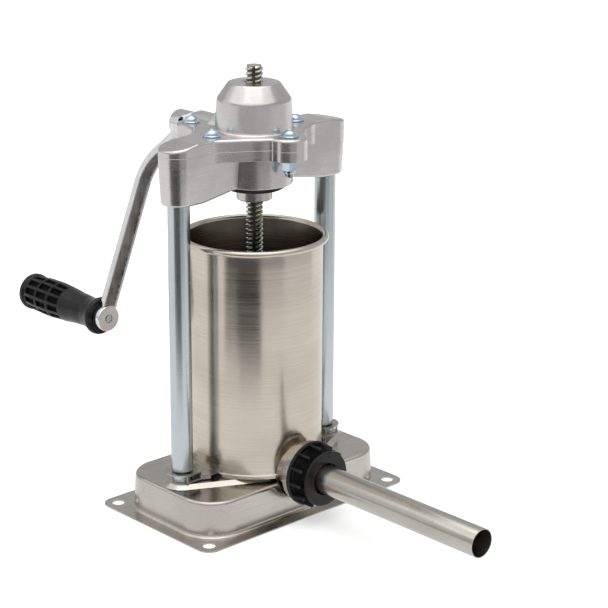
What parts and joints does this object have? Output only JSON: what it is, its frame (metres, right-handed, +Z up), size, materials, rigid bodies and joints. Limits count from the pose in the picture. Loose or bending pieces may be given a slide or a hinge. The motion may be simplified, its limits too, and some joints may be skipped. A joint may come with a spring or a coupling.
{
  "type": "sausage stuffer",
  "caption": "Hand-cranked upright sausage stuffer: a geared crank drives a lead screw and piston down a steel cylinder, pushing meat out through a clamped tube at its foot",
  "frame": {"origin": "on the table, at the centre of the base's four fixing holes and under the cylinder's axis", "axes": "+X along the base's long side, towards the column on the crank-grip's free side; -Y towards the spout; +Z up"},
  "size_m": [0.252, 0.5376, 0.411],
  "materials": {
    "base_steel": "satin-polished stainless sheet",
    "column_steel": "fine-turned zinc-plated bar",
    "zinc_steel": "zinc-plated",
    "black_steel": "black oxide",
    "cast_aluminium": "tumbled casting",
    "gear_steel": "cut and oiled steel",
    "bronze": "sintered bronze",
    "bush_steel": "turned steel",
    "screw_steel": "nickel-plated thread",
    "piston_plastic": "moulded food-grade plastic",
    "seal_rubber": "food-grade silicone",
    "stainless": "stainless",
    "white_plastic": "moulded food-grade plastic",
    "brushed_steel": "brushed stainless sheet",
    "bracket_steel": "brushed stainless sheet",
    "tube_steel": "polished stainless tube",
    "black_rubber": "black rubber",
    "black_plastic": "glossy moulded plastic"
  },
  "bodies": {
    "frame_root": {"base_pan": "base_steel", "column_left": "column_steel", "column_right": "column_steel", "foot_bolts": "zinc_steel", "foot_washers": "zinc_steel", "head_bolts": "black_steel", "head_washers": "zinc_steel", "head_housing": "cast_aluminium", "head_cover": "cast_aluminium", "cover_screws": "zinc_steel", "cover_nuts": "zinc_steel", "axle_bush": "bronze", "upper_bush": "bronze", "lower_bush": "bush_steel", "thrust_washer": "bronze", "dust_ring": "black_rubber", "guide_bush": "bush_steel", "cylinder_shell": "brushed_steel", "cylinder_floor": "brushed_steel", "spout": "brushed_steel", "bracket_left": "bracket_steel", "bracket_right": "bracket_steel"},
    "piston_unit": {"lead_screw": "screw_steel", "piston": "piston_plastic", "piston_seal": "seal_rubber", "piston_washer": "zinc_steel", "piston_nut": "zinc_steel"},
    "valve": {"air_valve": "stainless", "valve_cap": "white_plastic", "valve_spring": "stainless"},
    "gear": {"bevel_gear_nut": "gear_steel"},
    "crank": {"crank_shaft": "zinc_steel", "bevel_pinion": "gear_steel", "pinion_pin": "zinc_steel", "shaft_washer": "zinc_steel", "crank_arm": "cast_aluminium", "set_screw": "black_steel", "grip_pin": "zinc_steel", "grip_washer": "zinc_steel"},
    "grip_body": {"grip": "black_plastic", "grip_cap": "black_plastic"},
    "tube": {"stuffing_tube": "tube_steel", "tube_gasket": "black_rubber"},
    "nut": {"ring_nut": "black_plastic"}
  },
  "joints": [
    {"name": "piston_travel", "type": "slide", "parent": "frame_root", "child": "piston_unit", "axis": [0, 0, 1], "range_m": [0, 0.216]},
    {"name": "gear_spin", "type": "hinge", "parent": "frame_root", "child": "gear", "pos_m": [0, 0, 0.342], "axis": [0, 0, 1], "range_deg": [-9190, 0]},
    {"name": "crank_turn", "type": "hinge", "parent": "frame_root", "child": "crank", "pos_m": [0, 0.06, 0.342], "axis": [0, 1, 0], "range_deg": [0, 18370]},
    {"name": "grip_spin", "type": "hinge", "parent": "crank", "child": "grip_body", "pos_m": [-0.0722, 0.19, 0.15871], "axis": [0, 1, 0], "continuous": true},
    {"name": "tube_withdraw", "type": "slide", "parent": "frame_root", "child": "tube", "axis": [0, -1, 0], "range_m": [0, 0.014]},
    {"name": "nut_spin", "type": "hinge", "parent": "tube", "child": "nut", "pos_m": [0, -0.09, 0.0433], "axis": [0, -1, 0], "range_deg": [0, 1690]},
    {"name": "valve_lift", "type": "slide", "parent": "piston_unit", "child": "valve", "axis": [0, 0, 1], "range_m": [0, 0.0018], "stiffness_N_per_m": 100, "springref_m": -0.003, "deforming": ["valve_spring"]}
  ],
  "couplings": [
    {"joint": "gear_spin", "follows": "piston_travel", "rad_per_m": -742.08},
    {"joint": "crank_turn", "follows": "piston_travel", "rad_per_m": 1484.2},
    {"joint": "nut_spin", "follows": "tube_withdraw", "rad_per_m": 2094.4}
  ]
}
